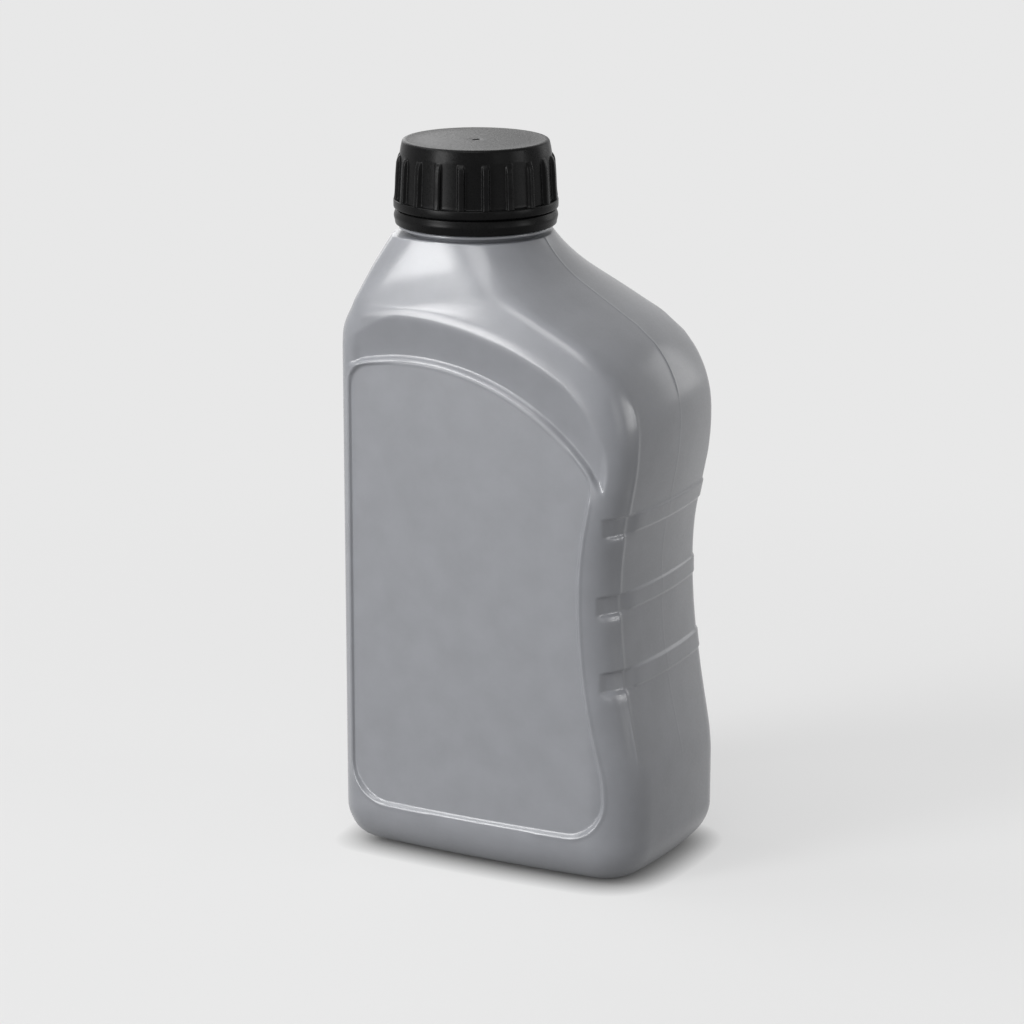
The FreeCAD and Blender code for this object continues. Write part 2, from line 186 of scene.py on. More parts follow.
def floorMaterial(settings):
    # paper that takes the bottle's shadow from the lamps near it, with a painted contact shadow in its glow
    # right by the bottle, and is evenly pale farther off
    material = bpy.data.materials.new("floorPaper")
    material.use_nodes = True
    tree = material.node_tree
    tree.nodes.clear()
    met, near = litPaper(tree, settings)
    place = tree.nodes.new('ShaderNodeTexCoord')
    away = tree.nodes.new('ShaderNodeVectorMath')
    away.operation = 'LENGTH'
    tree.links.new(place.outputs["Object"], away.inputs[0])
    spread = tree.nodes.new('ShaderNodeMapRange')
    spread.interpolation_type = 'SMOOTHSTEP'
    spread.inputs["From Min"].default_value = settings["nearReach"]
    spread.inputs["From Max"].default_value = settings["farReach"]
    tree.links.new(away.outputs["Value"], spread.inputs["Value"])
    seen = mixed(tree, spread.outputs["Result"], near, glowNode(tree.nodes, settings["shown"]))
    mix = mixed(tree, seenRays(tree), met, seen)
    output = tree.nodes.new('ShaderNodeOutputMaterial')
    tree.links.new(mix.outputs["Shader"], output.inputs["Surface"])
    return material


def addFloor(settings):
    half = settings["floorHalf"]
    corners = [(-half, -half, 0), (half, -half, 0), (half, half, 0), (-half, half, 0)]
    mesh = bpy.data.meshes.new("floor")
    mesh.from_pydata(corners, [], [(0, 1, 2, 3)])
    mesh.materials.append(floorMaterial(settings))
    floor = bpy.data.objects.new("floor", mesh)
    scene.collection.objects.link(floor)


addWorld(backdropSettings)
addFloor(backdropSettings)
print("camera, lamps and floor made")

# The pieces below are worked out in millimetres and handed over in metres.

neckMiddle = -19.3       # x of the axis of the neck and the cap
sideSteps = 61           # points along each bend of a side


def smooth(value):
    # 0 below 0, 1 above 1, and an even S between
    value = np.clip(value, 0.0, 1.0)
    return value * value * (3 - 2 * value)


def rising(value, start, width):
    # 0 up to start and 1 from width past it
    return smooth((value - start) / width)


def falling(value, end, width):
    # 1 until width before end and 0 from the end on
    return smooth((end - value) / width)


def softLeast(a, b, width):
    # the smaller of two, rounded off where they come within width of one another
    near = np.maximum(width - np.abs(a - b), 0) / width
    return np.minimum(a, b) - near * near * width / 4


def spaced(*stretches):
    # start, then (end, step) stretches, each divided evenly in steps no longer than asked
    values = [stretches[0]]
    for end, step in stretches[1:]:
        count = max(1, math.ceil(abs(end - values[-1]) / step - 1e-6))
        values.extend(np.linspace(values[-1], end, count + 1)[1:])
    return np.array(values)


def pieceFrom(name, points, faces):
    mesh = bpy.data.meshes.new(name)
    mesh.from_pydata((points * 0.001).tolist(), [], faces)
    mesh.update()
    mesh.shade_smooth()
    piece = bpy.data.objects.new(name, mesh)
    scene.collection.objects.link(piece)
    return piece


def ringMesh(name, rings, closedLoop=False, capFirst=False, capLast=False):
    # Rings of points (ring, column, 3) skinned with quads all round. Rings run up the outside and
    # columns run clockwise seen from above, so the faces look outward. A capped end gets a pole.
    ringCount, columnCount = rings.shape[:2]
    points = rings.reshape(-1, 3)
    column = np.arange(columnCount)
    following = (column + 1) % columnCount
    lower = np.arange(ringCount if closedLoop else ringCount - 1)[:, None] * columnCount
    upper = (lower + columnCount) % (ringCount * columnCount)
    quads = np.stack([lower + column, upper + column, upper + following, lower + following], -1)
    faces = quads.reshape(-1, 4).tolist()
    poles = []
    if capFirst:
        pole = 0 * column + len(points)
        poles.append(rings[0].mean(0))
        faces += np.stack([pole, column, following], -1).tolist()
    if capLast:
        pole = 0 * column + len(points) + len(poles)
        poles.append(rings[-1].mean(0))
        start = (ringCount - 1) * columnCount
        faces += np.stack([start + column, pole, start + following], -1).tolist()
    if poles:
        points = np.concatenate([points, np.array(poles)])
    return pieceFrom(name, points, faces)


# A pair of a place and a width is where something fades in or out, as rising and falling take it.
flaskShape = {
    "halfWidth": 52.5, "halfDepth": 35.05, "baseRound": 14.0, "top": 191.0, "neckFoot": 22.5,
    # the sides from the base up: straight "run" and "rise" (to a height), and "bend" (radius, degrees)
    "rightSide": [
        ("rise", 28.8), ("bend", 48.7, 12.95), ("run", 10.0), ("bend", 186.9, -12.95),
        ("bend", 105.2, -10.5), ("run", 14.9), ("bend", 81.8, 10.5), ("bend", 32.4, 58.7),
        ("run", 20.6), ("bend", 39.0, -40.0), ("rise", 200.0)],
    "leftSide": [("rise", 161.8), ("bend", 14.0, 20.8), ("rise", 200.0)],
    "frontSide": [("rise", 200.0)],
    # roundings of the corners seen from above, as (height, radius)
    "rightCorner": [
        (0, 6), (3, 12.5), (8, 14.8), (14, 16.4), (34.8, 16), (49.8, 13.4), (58.8, 12), (103.8, 12),
        (123.8, 9), (138, 11.3), (150, 13.2), (161, 14.3), (170, 17.2), (180, 20.5), (191, 22.4)],
    "leftCorner": [
        (0, 3.6), (3, 3.6), (8, 7.8), (14, 9.2), (161, 8.7), (170, 10.4), (182, 11.6), (191, 14.2)],
    # bows of the faces seen from above: a radius, or (height, radius)
    "frontBow": 508.0,
    "rightBow": [
        (0, 171), (123, 171), (138, 157), (150, 127), (158, 98), (164, 70), (170, 52), (176, 43),
        (182, 36), (191, 25)],
    "leftBow": [(0, 171), (158, 171), (164, 150), (170, 118), (176, 102), (182, 84), (191, 42)],
    # arches over the label: their middle, the ridge's radius, and how much wider the cheek's cone
    # gets for each millimetre back; then how softly the ridge, the cheek and the foot of the neck turn
    "archX": -22.0, "archZ": 81.4, "ridge": 89.5, "cheekRun": 1.81,
    "ridgeSoft": 2.2, "cheekSoft": 2.6, "cheekSoftOver": 12.0, "neckSoft": 2.0, "neckSoftFrom": (172.0, 14.0),
    "coneFrom": 92.0,                        # height from which the cone is cut
    # the lean above the cheek: middle and radius of the arc where it starts, and radius of the sweep
    # above it; the sine of the lean at the left, how much more it is at the right, where that comes
    # in, and the sine and the slope of the last lean; then how softly it meets the cheek
    "crease": (-4.0, 116.0, 61.0, 19.0), "leanLeft": 0.5, "leanMore": 0.24, "leanMoreFrom": (-30.0, 45.0),
    "leanLast": 0.342, "leanLastSlope": 0.364, "leanFrom": 150.0,
    "creaseSoft": 0.8, "sweepSoft": 3.6, "sweepSoftFrom": (-1.0, 10.0),
    "sideClear": 1.0,                        # how near the middle plane the cone and the lean stay away
    # label panel: its edges, how deep it is, how wide its wall is, and its corners (left, right)
    "panelLeft": -45.5, "panelMargin": 11.0, "panelFoot": 15.7, "panelArch": 75.0, "panelSink": 0.9,
    "panelWall": 0.95, "panelTopRounds": (5.5, 3.0), "panelFootRounds": (13.0, 12.0),
    # the raised rim round it: how high, how far outside the edge, how wide, and how far from the
    # middle it comes in
    "rimRise": 0.22, "rimOut": 0.45, "rimWidth": 0.5, "rimFrom": (16.0, 4.0),
    # the cove above it: how deep, how wide the step down is and where it comes in past the panel's
    # arch, how far past that arch it is deepest and how far inside the ridge it ends, how softly it
    # turns, how far the front's bow may fall away before the cove gets shallower, and its bounds
    "coveSink": 2.4, "coveStep": 1.7, "coveStepFrom": (-0.4, 1.6), "coveDeepest": 2.0, "coveEnd": 0.3,
    "coveSoft": 0.5, "coveBow": 0.8,
    "coveArch": (70.5, 4.5), "coveRight": (6.6, 3.4), "coveLeft": (-47.0, 6.0),
    "frontFrom": (12.0, 6.0),                # how far forward the panel and the cove come in
    # finger bands: (foot, height, where the dip in the front corner starts), how deep it is, and how
    # far the band stands out along the side
    "bands": [(61.5, 6.7, 39.2), (85.1, 6.4, 37.8), (109.3, 6.5, 39.8)], "bandDip": 0.85, "bandRise": 0.42,
    # over how much height a band comes in at its foot and goes out at its top, and how far right
    # and how far back it stands out
    "bandFootFade": 0.9, "bandTopFade": 1.2, "riseRight": (38.0, 3.0), "riseBack": (-22.0, 5.0),
    # the same for the lip of a dip, how it comes in to the right of its start, and where it ends
    # round the corner
    "lipFoot": (-1.0, 1.8), "lipTopFade": 0.9, "dipFade": 2.6, "dipBack": (-25.0, 6.5),
    # the fine crest where the front corner runs out into the side: its place, width and rise, how
    # far right it starts, and where it comes in and ends
    "crest": (24.6, 0.9, 0.24), "crestRight": 20.0, "crestFoot": (28.0, 15.0), "crestTop": (152.0, 8.0),
    # the raised line of the mould parting: its share of the rise over the right shoulder, and its
    # share all round apart from the outermost edge and below seamFoot
    "seamRise": 0.2, "seamWidth": 0.32, "seamShoulder": 0.9, "seamShoulderFrom": (146.0, 6.0),
    "seamRound": 0.16, "seamRoundTo": (52.2, 0.4), "seamFoot": 0.5,
    # base: how far its middle is pushed up, rings in that middle as shares of the way out, and
    # rings outside it as (way in from the edge, share of the push-up)
    "pushUp": 2.4, "baseShares": (0.75, 0.5, 0.25),
    "baseWays": [(10.5, 1.0), (9.0, 0.97), (8.0, 0.7), (7.0, 0.25), (6.2, 0.03), (5.6, 0.0), (3.0, 0.0)],
    # top: rounding over to the neck, as shares of a quarter turn, its height, and rings inside it
    "topTurns": (0.35, 0.7, 1.0), "topRise": 0.25, "topShares": (0.9, 0.5),
}
flaskGrid = {
    # how fine the level outlines are: rows over the base's rounding, step between levels, and points
    # along a side's bow, a corner and half the front
    "roundRows": 13, "levelStep": 0.25, "bowPoints": 30, "cornerPoints": 60, "frontPoints": 60,
    # where the halves meet: usual place, how far clear of the right corner, and how far they overlap
    "meeting": -4.0, "meetingClear": 1.0, "meetingOver": 6.0,
    # columns by the way round from the middle of a side, as (end, step); the whole way at which they
    # have that spacing; and how many share the rest
    "rightColumns": [
        (0.5, 0.17), (2.0, 0.75), (20, 1.7), (23.5, 1.0), (29, 0.42), (35, 1.0), (43.2, 0.6),
        (46.4, 0.36), (58, 0.6)],
    "leftColumns": [(0.5, 0.17), (2.0, 0.75), (24, 2.0), (36, 1.0), (38.4, 0.8), (41.2, 0.36), (53, 0.6)],
    "rightWay": 80.0, "leftWay": 78.0, "restColumns": 18,
    # rows by height, as (end, step): above the base, round the foot and the top of a finger band
    # (from that edge), and above the bands
    "lowRows": [(15.2, 0.6), (17.4, 0.32), (29.0, 0.55)],
    "bandFootRows": [(-0.6, 2.2), (1.6, 0.4)], "bandTopRows": [(-2.4, 1.4), (0.7, 0.5)],
    "highRows": [
        (153.5, 1.6), (155.6, 0.5), (158.8, 0.3), (169, 0.8), (173, 0.4), (190.4, 0.9), (190.99, 0.3)],
    # the rows bend along the arches: not below the foot, fully from full to last, and not at the top;
    # within the left and the right, counted from the arches' middle
    "bendFoot": 29.0, "bendFull": 153.0, "bendLast": 172.5, "bendLeft": -30.0, "bendRight": 60.0,
    "bendPasses": 4,
}


def sideLine(half, baseRound, steps):
    # how far out a side is by height, walked from the edge of the flat base in tangent pieces
    out, up, lean = half - baseRound, 0.0, -math.pi / 2
    outs, ups = [out], [up]
    for step in [("bend", baseRound, 90.0)] + steps:
        if step[0] == "bend":
            turn = math.radians(step[2])
            reach = math.copysign(step[1], turn)
            angles = lean + np.linspace(0, turn, sideSteps)
            outs.extend(out - reach * math.cos(lean) + reach * np.cos(angles[1:]))
            ups.extend(up - reach * math.sin(lean) + reach * np.sin(angles[1:]))
            lean += turn
        else:
            length = step[1] if step[0] == "run" else (step[1] - up) / math.cos(lean)
            outs.append(out - length * math.sin(lean))
            ups.append(up + length * math.cos(lean))
        out, up = outs[-1], ups[-1]
    return np.array(outs), np.array(ups)


def byHeight(table, heights):
    return np.interp(heights, [row[0] for row in table], [row[1] for row in table])


def cornerArc(side, out, bow, radius, face, frontBow):
    # The front corner on one side (1 right, -1 left) of a level outline: an arc that touches the
    # bowed front and the bowed side. Gives its middle, its two ends, and the middles of both bows.
    front = np.stack([0 * out, frontBow - face], -1)
    flank = np.stack([side * (out - bow), 0 * out], -1)
    way = flank - front
    apart = np.hypot(way[:, 0], way[:, 1])
    a, b = frontBow - radius, bow - radius
    along = (apart ** 2 + a ** 2 - b ** 2) / (2 * apart)
    across = side * np.sqrt(np.maximum(a ** 2 - along ** 2, 0))
    turned = np.stack([-way[:, 1], way[:, 0]], -1)
    middle = front + way * (along / apart)[:, None] + turned * (across / apart)[:, None]
    onFront = front + (middle - front) * (frontBow / a)[:, None]
    onFlank = flank + (middle - flank) * (bow / b)[:, None]
    return middle, onFront, onFlank, front, flank


def swept(middle, start, end, count):
    # points along an arc about middle from start to end, the short way
    first = np.arctan2(start[:, 1] - middle[:, 1], start[:, 0] - middle[:, 0])
    last = np.arctan2(end[:, 1] - middle[:, 1], end[:, 0] - middle[:, 0])
    turn = (last - first + math.pi) % (2 * math.pi) - math.pi
    angle = first[:, None] + turn[:, None] * np.linspace(0, 1, count)
    radius = np.hypot(start[:, 0] - middle[:, 0], start[:, 1] - middle[:, 1])[:, None]
    return np.stack([middle[:, :1] + radius * np.cos(angle), middle[:, 1:] + radius * np.sin(angle)], -1)


def quarterColumns(line, out, side, middleX, offsets, full, restColumns):
    # Points of a quarter outline at fixed ways round from the middle of the side, counted as the
    # way in plus the way forward, so that columns keep their distance from the side.
    way = (out - side * line[:, 0]) + np.abs(line[:, 1])
    total = np.interp(side * -middleX, side * -line[:, 0], way)
    fixed = offsets * min(1.0, total / full)
    rest = fixed[-1] + (total - fixed[-1]) * np.linspace(0, 1, restColumns + 1)[1:]
    ways = np.concatenate([fixed, rest])
    return np.stack([np.interp(ways, way, line[:, 0]), np.interp(ways, way, line[:, 1])], -1)


def levelCorners(shape, heights):
    # how far out the right and the left side are at each height, and the front corners there
    reach, up = sideLine(shape["halfDepth"], shape["baseRound"], shape["frontSide"])
    narrowing = (heights - shape["archZ"] - shape["ridge"]) / shape["cheekRun"] - 1.0
    face = np.interp(heights, up, reach) - np.maximum(narrowing, 0)
    outs, corners = [], []
    for side, name in ((1, "right"), (-1, "left")):
        reach, up = sideLine(shape["halfWidth"], shape["baseRound"], shape[name + "Side"])
        out = np.interp(heights, up, reach)
        bow = byHeight(shape[name + "Bow"], heights)
        radius = byHeight(shape[name + "Corner"], heights)
        outs.append(out)
        corners.append(cornerArc(side, out, bow, radius, face, shape["frontBow"]))
    return outs, corners


def levelTable(shape, grid, heights):
    # the front half of the level outline at each height, in columns from the right side to the left
    outs, corners = levelCorners(shape, heights)
    rightCornerX = corners[0][1][:, 0]
    # the halves meet on the front, clear of the right corner where that is wide near the neck
    meeting = np.minimum(grid["meeting"], rightCornerX - grid["meetingClear"])
    halves = []
    for side, out, (middle, onFront, onFlank, front, flank) in zip((1, -1), outs, corners):
        sideMiddle = np.stack([side * out, 0 * out], -1)
        frontMiddle = np.stack([meeting - grid["meetingOver"] * side, 0 * out], -1)
        frontMiddle[:, 1] = front[:, 1] - np.sqrt(shape["frontBow"] ** 2 - frontMiddle[:, 0] ** 2)
        halves.append(np.concatenate([
            swept(flank, sideMiddle, onFlank, grid["bowPoints"]),
            swept(middle, onFlank, onFront, grid["cornerPoints"])[:, 1:],
            swept(front, onFront, frontMiddle, grid["frontPoints"])[:, 1:]], 1))
    right, left = spaced(0, *grid["rightColumns"]), spaced(0, *grid["leftColumns"])
    table = []
    for level, middleX in enumerate(meeting):
        quarters = []
        for end, side, columns, full in ((0, 1, right, grid["rightWay"]), (1, -1, left, grid["leftWay"])):
            line, out = halves[end][level], outs[end][level]
            quarters.append(quarterColumns(line, out, side, middleX, columns, full, grid["restColumns"]))
        table.append(np.concatenate([quarters[0], quarters[1][-2::-1]]))
    return np.array(table), outs[0]


def bentRows(shape, grid, rows, x):
    # rows dip towards the sides so that across the front they run along the arches
    away = np.clip(x - shape["archX"], grid["bendLeft"], grid["bendRight"])
    arch = np.clip(rows, grid["bendFull"], grid["bendLast"]) - shape["archZ"]
    drop = arch - np.sqrt(arch ** 2 - away ** 2)
    below = np.clip((rows - grid["bendFoot"]) / (grid["bendFull"] - grid["bendFoot"]), 0, 1)
    above = np.clip((shape["top"] - rows) / (shape["top"] - grid["bendLast"]), 0, 1)
    return np.where(rows > grid["bendFoot"], rows - drop * below * above, rows)


def flaskRows(shape, grid):
    # The heights of the rows before they are bent, closer where the form turns. Bending presses
    # them together at the right side, so the rows for a band start that much further up.
    foot = grid["bendFoot"]
    arch = grid["bendFull"] - shape["archZ"]
    drop = arch - math.sqrt(arch ** 2 - grid["bendRight"] ** 2)
    squeeze = 1 - drop / (grid["bendFull"] - foot)
    rows = spaced(shape["baseRound"], *grid["lowRows"])
    for bandFoot, height, _ in shape["bands"]:
        low, high = [foot + (edge - foot) / squeeze for edge in (bandFoot, bandFoot + height)]
        stretches = [(low + way, step) for way, step in grid["bandFootRows"]]
        stretches += [(high + way, step) for way, step in grid["bandTopRows"]]
        rows = np.append(rows, spaced(rows[-1], *stretches)[1:])
    return np.append(rows, spaced(rows[-1], *grid["highRows"])[1:])


def roundedCorner(a, b, radius):
    # distance inside two edges that meet in a rounded corner
    return radius - np.hypot(np.maximum(radius - a, 0), np.maximum(radius - b, 0))


def panelInside(shape, x, z, fromArch, fromRight):
    # how far inside the label panel's outline each point is: from its upper edges, and from all
    toLeft, toRight = x - shape["panelLeft"], fromRight - shape["panelMargin"]
    insides = []
    for toEnd, rounds in (
            (shape["panelArch"] - fromArch, "panelTopRounds"), (z - shape["panelFoot"], "panelFootRounds")):
        left, right = shape[rounds]
        insides.append(np.minimum(roundedCorner(toLeft, toEnd, left), roundedCorner(toRight, toEnd, right)))
    return insides[0], np.minimum(*insides)


def coveDepth(shape, x, z, fromArch, fromRight, upper):
    # The cove is deepest at a step over the panel's arch and comes up evenly to the ridge.
    stepStart, stepWidth = shape["coveStepFrom"]
    further = smooth(-upper / shape["coveStep"]) * rising(fromArch, shape["panelArch"] + stepStart, stepWidth)
    step = shape["panelSink"] + (shape["coveSink"] - shape["panelSink"]) * further
    end = shape["ridge"] - shape["coveEnd"]
    slope = (end - fromArch) * shape["coveSink"] / (end - shape["panelArch"] - shape["coveDeepest"])
    window = rising(fromArch, *shape["coveArch"]) * rising(fromRight, *shape["coveRight"])
    window = window * rising(x, *shape["coveLeft"]) * (z > shape["archZ"])
    bowed = shape["frontBow"] - np.sqrt(shape["frontBow"] ** 2 - x ** 2)
    depth = softLeast(step, slope, shape["coveSoft"]) - np.maximum(bowed - shape["coveBow"], 0)
    return np.maximum(depth, 0) * window


def faceDepth(shape, x, z, fromRight):
    # how far the front is sunk: the label panel and the cove over it, less the rim round the panel
    fromArch = np.hypot(x - shape["archX"], np.maximum(z - shape["archZ"], 0))
    upper, inside = panelInside(shape, x, z, fromArch, fromRight)
    panel = shape["panelSink"] * smooth(inside / shape["panelWall"])
    rim = shape["rimRise"] * np.exp(-((inside + shape["rimOut"]) / shape["rimWidth"]) ** 2)
    rim = rim * rising(np.abs(x), *shape["rimFrom"])
    cove = coveDepth(shape, x, z, fromArch, fromRight, upper)
    return np.maximum(panel, cove) - rim * (cove < 0.01)


def shoulderFront(shape, x, z):
    # Above an arc across the cheek the front leans back, more so towards the right, and then sweeps
    # up towards the neck. The way in is counted from where the cheek is at that arc.
    middleX, middleZ, arc, sweep = shape["crease"]
    reach = np.maximum(np.hypot(x - middleX, z - middleZ), 1.0)
    onArcX = middleX + (x - middleX) * arc / reach
    onArcZ = middleZ + (z - middleZ) * arc / reach
    beyond = np.hypot(onArcX - shape["archX"], onArcZ - shape["archZ"]) - shape["ridge"]
    start = shape["halfDepth"] - beyond / shape["cheekRun"]
    past = reach - arc
    last = shape["leanLast"]
    first = shape["leanLeft"] + shape["leanMore"] * rising(x, *shape["leanMoreFrom"])
    sine = np.maximum(first - past / sweep, last)
    turned = sweep * (np.sqrt(1 - sine ** 2) - np.sqrt(1 - first ** 2))
    wayIn = turned + np.maximum(past - sweep * (first - last), 0) * shape["leanLastSlope"]
    return start - np.where(past > 0, wayIn, past), past


def frontHalf(shape, grid):
    # the front of the flask as a grid of rows and columns, from the right side to the left
    rounding = shape["baseRound"] * (1 - np.cos(np.linspace(0, math.pi / 2, grid["roundRows"])))
    step = grid["levelStep"]
    levels = np.arange(shape["baseRound"] + step, shape["top"] + step / 2, step)
    heights = np.concatenate([rounding, levels])
    table, rightOut = levelTable(shape, grid, heights)
    slope = np.gradient(rightOut, heights)
    column = np.arange(table.shape[1])

    def outline(z):
        place = np.interp(z, heights, np.arange(len(heights)))
        low = np.minimum(place.astype(int), len(heights) - 2)
        part = (place - low)[..., None]
        return table[low, column] * (1 - part) + table[low + 1, column] * part

    rows = np.concatenate([rounding[:-1], flaskRows(shape, grid)])[:, None] + 0 * column
    z = rows.copy()
    for _ in range(grid["bendPasses"]):
        z = bentRows(shape, grid, rows, outline(z)[..., 0])
    flat = outline(z)
    x, y = flat[..., 0], -flat[..., 1]
    # y is the way forward here; first the sunk front, then the cheek's cone and the lean over it
    fromRight = (np.interp(z, heights, rightOut) - x) / np.sqrt(1 + np.interp(z, heights, slope) ** 2)
    y = y - faceDepth(shape, x, z, fromRight) * rising(y, *shape["frontFrom"])
    beyond = np.hypot(x - shape["archX"], z - shape["archZ"]) - shape["ridge"]
    cone = shape["halfDepth"] - beyond / shape["cheekRun"]
    softer = shape["cheekSoft"] - shape["ridgeSoft"]
    soft = shape["ridgeSoft"] + softer * smooth(beyond / shape["cheekSoftOver"])
    soft = soft + shape["neckSoft"] * rising(z, *shape["neckSoftFrom"])
    y = np.where((z > shape["coneFrom"]) & (y > shape["sideClear"]), softLeast(y, cone, soft), y)
    lean, past = shoulderFront(shape, x, z)
    soft = shape["creaseSoft"] + shape["sweepSoft"] * rising(past, *shape["sweepSoftFrom"])
    y = np.where((z > shape["leanFrom"]) & (y > shape["sideClear"]), softLeast(y, lean, soft), y)
    return x, y, z


def raiseBands(shape, rings):
    # Finger bands: along the right side they stand out a little; where they reach the front corner
    # they are cut in, deepest over a lip at the foot. Then the crest down the corner's edge and the
    # fine line of the mould parting.
    x, y, z = rings[..., 0], rings[..., 1], rings[..., 2]
    along = np.roll(rings, -1, 1) - np.roll(rings, 1, 1)
    long = np.hypot(along[..., 0], along[..., 1])
    outX, outY = -along[..., 1] / long, along[..., 0] / long
    outward = np.where(outX * x + outY * y < 0, -1, 1)
    shift = 0 * x
    lipStart, lipWidth = shape["lipFoot"]
    for foot, height, start in shape["bands"]:
        top = foot + height
        inBand = rising(z, foot, shape["bandFootFade"]) * falling(z, top, shape["bandTopFade"])
        lip = rising(z, foot + lipStart, lipWidth) * falling(z, top, shape["lipTopFade"])
        dip = rising(x, start, shape["dipFade"]) * (1 - rising(y, *shape["dipBack"])) * (y < 0)
        risen = rising(y, *shape["riseBack"]) * rising(x, *shape["riseRight"])
        shift += shape["bandRise"] * inBand * risen - shape["bandDip"] * lip * dip
    place, width, rise = shape["crest"]
    crest = rise * np.exp(-((y + place) / width) ** 2) * (x > shape["crestRight"])
    shift += crest * rising(z, *shape["crestFoot"]) * falling(z, *shape["crestTop"])
    seam = np.exp(-(y / shape["seamWidth"]) ** 2) * shape["seamRise"]
    onShoulder = shape["seamShoulder"] * rising(z, *shape["seamShoulderFrom"]) * (x > 0)
    allAlong = shape["seamRound"] * falling(np.abs(x), *shape["seamRoundTo"]) * (z > shape["seamFoot"])
    shift += seam * (onShoulder + allAlong)
    return rings + np.stack([outward * outX * shift, outward * outY * shift, 0 * shift], -1)


def baseOf(shape, edge):
    # the raised middle of the base and the flat ring to stand on, from the middle out to the edge
    reach = np.hypot(edge[:, 0], edge[:, 1])
    base = [(share + 0 * reach, 1.0) for share in shape["baseShares"]]
    base += [(1 - way / reach, up) for way, up in shape["baseWays"]]
    return np.stack([
        np.stack([edge[:, 0] * share, edge[:, 1] * share, 0 * share + shape["pushUp"] * up], -1)
        for share, up in base])


def topOf(shape, edge):
    # over a small rounding and in to the foot of the neck
    angle = np.arctan2(edge[:, 1], edge[:, 0] - neckMiddle)
    fromAxis = np.stack([np.cos(angle), np.sin(angle)], -1) * shape["neckFoot"]
    foot = fromAxis + (neckMiddle, 0)
    rings = []
    for share in shape["topTurns"]:
        turn = share * math.pi / 2
        level = edge.copy()
        level[:, :2] += (foot - edge[:, :2]) * (1 - math.cos(turn))
        level[:, 2] += shape["topRise"] * math.sin(turn)
        rings.append(level)
    for share in shape["topShares"]:
        level = rings[len(shape["topTurns"]) - 1].copy()
        level[:, :2] = fromAxis * share + (neckMiddle, 0)
        rings.append(level)
    return np.array(rings)


def makeFlask(shape, grid):
    x, y, z = frontHalf(shape, grid)
    front = np.stack([x, -y, z], -1)
    back = np.stack([x, y, z], -1)[:, -2:0:-1]
    rings = raiseBands(shape, np.concatenate([front, back], 1))
    rings = np.concatenate([baseOf(shape, rings[0]), rings, topOf(shape, rings[-1])])
    return ringMesh("flaskShell", rings, capFirst=True, capLast=True)


flaskShell = makeFlask(flaskShape, flaskGrid)
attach(flaskShell, "flask")
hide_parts("bottle")
print("flask made: %d faces" % len(flaskShell.data.polygons))

neckShape = {
    "steps": 160, "wall": 20.4, "bore": 18.6, "foot": 190.8, "boreFoot": 202.8, "grooveRadius": 20.9,
    "collar": 23.4, "collarFoot": 192.35, "collarTop": 193.4, "beadRadius": 22.5, "beadFoot": 195.7,
    "threadFoot": 198.0, "mouth": 216.0, "threadStep": 0.3,
}
threadShape = {
    "pitch": 4.0, "start": 202.4, "turns": 1.6, "proud": 0.95,
    "crown": 0.3,        # how far from its middle it is full
    "flank": 0.525,      # over what height it falls beside that
    "fade": 6,           # it comes in and goes out over one part in this many of a turn
    "capLift": 2.0,      # how much higher the thread in the cap lies: half a pitch
}


def threadRise(z, angle, shape, lift):
    # A screw thread as a smooth rise: how near each point lies to a helix, which fades in and out
    # at its ends.
    turn = angle / (2 * math.pi)
    rise = 0 * z
    for loop in range(-1, 4):
        along = turn + loop
        middle = shape["start"] + lift + shape["pitch"] * along
        ends = smooth(along * shape["fade"]) * smooth((shape["turns"] - along) * shape["fade"])
        near = 1 - rising(np.abs(z - middle), shape["crown"], shape["flank"])
        rise = np.maximum(rise, near * ends * shape["proud"])
    return rise


def turnedRings(profile, angles):
    # a profile of (radius, height) taken round the neck's axis, clockwise seen from above
    radius = np.array([p[0] for p in profile])[:, None] + 0 * angles
    height = np.array([p[1] for p in profile])[:, None] + 0 * angles

    def placed(r):
        return np.stack([neckMiddle + r * np.cos(angles), -r * np.sin(angles), height], -1)
    return radius, height, placed


def allRound(steps):
    return np.linspace(0, 2 * math.pi, steps, endpoint=False)[None, :]


def upright(radius, low, high, step):
    return [(radius, z) for z in spaced(low, (high, step))]


def makeNeck(shape, thread):
    # profile up the outside over groove, collar, bead and thread, round the mouth and down the bore
    wall, bore, foot, mouth = shape["wall"], shape["bore"], shape["foot"], shape["mouth"]
    groove, bead, under = shape["grooveRadius"], shape["beadRadius"], shape["beadFoot"]
    collar, low, high = shape["collar"], shape["collarFoot"], shape["collarTop"]
    profile = [
        (bore, foot), (groove, foot), (groove, low - 0.25), (groove + 0.15, low - 0.06),
        (collar - 0.3, low), (collar - 0.08, low + 0.1), (collar, low + 0.35), (collar, high - 0.4),
        (collar - 0.1, high - 0.12), (collar - 0.35, high), (wall + 0.5, high + 0.03),
        (wall + 0.15, high + 0.15), (wall, high + 0.5), (wall, under - 0.1), (wall + 0.2, under),
        (bead - 0.2, under + 0.05), (bead, under + 0.25), (bead - 0.1, under + 0.55),
        (wall + 0.5, under + 1.5), (wall, under + 1.75)]
    profile += upright(wall, shape["threadFoot"], mouth - 1.0, shape["threadStep"])
    profile += [
        (wall - 0.05, mouth - 0.4), (wall - 0.25, mouth - 0.1), (wall - 0.5, mouth), (bore + 0.5, mouth),
        (bore + 0.2, mouth - 0.1), (bore, mouth - 0.5), (bore, shape["boreFoot"])]
    angles = allRound(shape["steps"])
    radius, height, placed = turnedRings(profile, angles)
    radius = radius + threadRise(height, angles, thread, 0.0) * (np.abs(radius - wall) < 0.01)
    return ringMesh("neckFinish", placed(radius), closedLoop=True)


